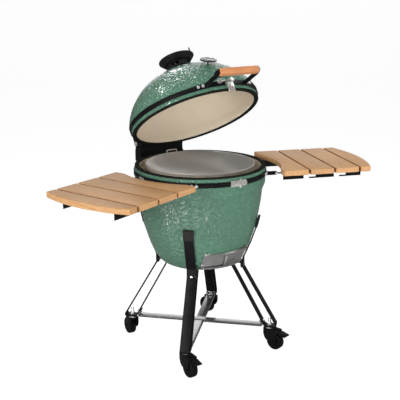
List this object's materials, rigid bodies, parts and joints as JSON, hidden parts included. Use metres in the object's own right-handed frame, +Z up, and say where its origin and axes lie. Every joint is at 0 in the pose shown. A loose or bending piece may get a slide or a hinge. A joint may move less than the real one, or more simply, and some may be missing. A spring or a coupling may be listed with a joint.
{
  "type": "kamado charcoal grill",
  "caption": "Egg-shaped ceramic charcoal grill with hinged lid on a four-legged rolling stand, with two fold-down slatted side shelves.",
  "frame": {"origin": "on the floor, on the vertical axis of the bowl", "axes": "+Z up, -Y to the front (draft door and lid handle), +X to the right as seen from the front"},
  "size_m": [1.393, 0.7735, 1.2541],
  "materials": {
    "green_glaze": "gloss",
    "raw_ceramic": "matte",
    "felt": "matte",
    "black_steel": "satin",
    "stainless": "brushed",
    "zinc_bolt": "satin",
    "cast_iron": "matte",
    "wood": "satin",
    "rubber": "matte",
    "black_plastic": "matte",
    "spring_steel": "satin",
    "lens": "clear",
    "needle_paint": "satin"
  },
  "bodies": {
    "stand": {"base_bowl": "green_glaze", "base_gasket": "felt", "fire_box": "raw_ceramic", "fire_ring": "raw_ceramic", "charcoal_grate": "cast_iron", "vent_frame": "stainless", "vent_screws": "zinc_bolt", "lower_band": "black_steel", "lower_band_bolts": "zinc_bolt", "lower_clamp": "stainless", "hinge_housing": "black_steel", "hinge_shaft": "zinc_bolt", "hinge_springs": "spring_steel", "shelf_arms": "black_steel", "leg_pads": "rubber", "leg_bolts": "zinc_bolt", "cross_braces": "black_steel", "caster_stems": "black_steel", "leg_front_left": "black_steel", "leg_front_right": "black_steel", "leg_rear_right": "black_steel", "leg_rear_left": "black_steel"},
    "grate": {"cooking_grate": "stainless"},
    "screen": {"ash_screen": "stainless"},
    "door": {"draft_door": "stainless"},
    "lid": {"lid_dome": "green_glaze", "lid_gasket": "felt", "upper_band": "black_steel", "upper_band_bolts": "zinc_bolt", "upper_clamp": "stainless", "lid_catch": "stainless", "handle_bar": "wood", "handle_brackets": "black_steel", "lid_hinge_bracket": "black_steel", "thermometer_case": "stainless", "thermometer_glass": "lens", "vent_base": "cast_iron"},
    "needle": {"thermometer_needle": "needle_paint"},
    "cap": {"vent_cap": "cast_iron"},
    "damper": {"damper_disc": "cast_iron"},
    "right_shelf": {"right_slat_1": "wood", "right_slat_2": "wood", "right_slat_3": "wood", "right_slat_4": "wood", "right_shelf_brackets": "black_steel"},
    "left_shelf": {"left_slat_1": "wood", "left_slat_2": "wood", "left_slat_3": "wood", "left_slat_4": "wood", "left_shelf_brackets": "black_steel"},
    "swivel_front_left": {"caster_fork_front_left": "black_steel"},
    "wheel_front_left": {"caster_wheel_front_left": "rubber"},
    "swivel_front_right": {"caster_fork_front_right": "black_steel"},
    "wheel_front_right": {"caster_wheel_front_right": "rubber"},
    "swivel_rear_right": {"caster_fork_rear_right": "black_steel"},
    "wheel_rear_right": {"caster_wheel_rear_right": "rubber"},
    "swivel_rear_left": {"caster_fork_rear_left": "black_steel"},
    "wheel_rear_left": {"caster_wheel_rear_left": "rubber"},
    "pedal_front_left": {"brake_pedal_front_left": "black_plastic"},
    "pedal_front_right": {"brake_pedal_front_right": "black_plastic"}
  },
  "joints": [
    {"name": "lid_hinge", "type": "hinge", "parent": "stand", "child": "lid", "pos_m": [0, 0.322, 0.8355], "axis": [-1, 0, 0], "range_deg": [-32.5, 35]},
    {"name": "thermometer_needle_turn", "type": "hinge", "parent": "lid", "child": "needle", "pos_m": [0, -0.05582, 1.20837], "axis": [0, -0.1364, 0.9907], "range_deg": [-230, 20]},
    {"name": "vent_cap_swing", "type": "hinge", "parent": "lid", "child": "cap", "pos_m": [0, 0.20708, 1.15949], "axis": [0, 0.5373, 0.8434], "range_deg": [0, 85]},
    {"name": "damper_turn", "type": "hinge", "parent": "cap", "child": "damper", "pos_m": [0, 0.16944, 1.19532], "axis": [0, 0.5373, 0.8434], "range_deg": [0, 45]},
    {"name": "right_shelf_fold", "type": "hinge", "parent": "stand", "child": "right_shelf", "pos_m": [0.26969, -0.09816, 0.766], "axis": [0.342, 0.9397, 0], "range_deg": [0, 90]},
    {"name": "left_shelf_fold", "type": "hinge", "parent": "stand", "child": "left_shelf", "pos_m": [-0.26969, -0.09816, 0.766], "axis": [0.342, -0.9397, 0], "range_deg": [0, 90]},
    {"name": "draft_door_slide", "type": "hinge", "parent": "stand", "child": "door", "pos_m": [0, 0, 0.403], "axis": [0, 0, -1], "range_deg": [0, 19]},
    {"name": "ash_screen_slide", "type": "hinge", "parent": "stand", "child": "screen", "pos_m": [0, 0, 0.403], "axis": [0, 0, -1], "range_deg": [0, 19]},
    {"name": "cooking_grate_lift", "type": "slide", "parent": "stand", "child": "grate", "axis": [0, 0, 1], "range_m": [0, 0.05]},
    {"name": "swivel_front_left", "type": "hinge", "parent": "stand", "child": "swivel_front_left", "pos_m": [-0.21425, -0.21425, 0.0902], "axis": [0, 0, 1], "continuous": true},
    {"name": "wheel_front_left", "type": "hinge", "parent": "swivel_front_left", "child": "wheel_front_left", "pos_m": [-0.21481, -0.24625, 0.037], "axis": [0.9998, -0.0175, 0], "continuous": true},
    {"name": "brake_front_left", "type": "hinge", "parent": "swivel_front_left", "child": "pedal_front_left", "pos_m": [-0.21506, -0.26025, 0.083], "axis": [0.9998, -0.0175, 0], "range_deg": [0, 12]},
    {"name": "swivel_front_right", "type": "hinge", "parent": "stand", "child": "swivel_front_right", "pos_m": [0.21425, -0.21425, 0.0902], "axis": [0, 0, 1], "continuous": true},
    {"name": "wheel_front_right", "type": "hinge", "parent": "swivel_front_right", "child": "wheel_front_right", "pos_m": [0.22199, -0.2453, 0.037], "axis": [0.9703, 0.2419, 0], "continuous": true},
    {"name": "brake_front_right", "type": "hinge", "parent": "swivel_front_right", "child": "pedal_front_right", "pos_m": [0.22538, -0.25889, 0.083], "axis": [0.9703, 0.2419, 0], "range_deg": [0, 12]},
    {"name": "swivel_rear_right", "type": "hinge", "parent": "stand", "child": "swivel_rear_right", "pos_m": [0.21425, 0.21425, 0.0902], "axis": [0, 0, 1], "continuous": true},
    {"name": "wheel_rear_right", "type": "hinge", "parent": "swivel_rear_right", "child": "wheel_rear_right", "pos_m": [0.2087, 0.24577, 0.037], "axis": [-0.9848, -0.1736, 0], "continuous": true},
    {"name": "swivel_rear_left", "type": "hinge", "parent": "stand", "child": "swivel_rear_left", "pos_m": [-0.21425, 0.21425, 0.0902], "axis": [0, 0, 1], "continuous": true},
    {"name": "wheel_rear_left", "type": "hinge", "parent": "swivel_rear_left", "child": "wheel_rear_left", "pos_m": [-0.21146, 0.24613, 0.037], "axis": [-0.9962, 0.0872, 0], "continuous": true}
  ]
}
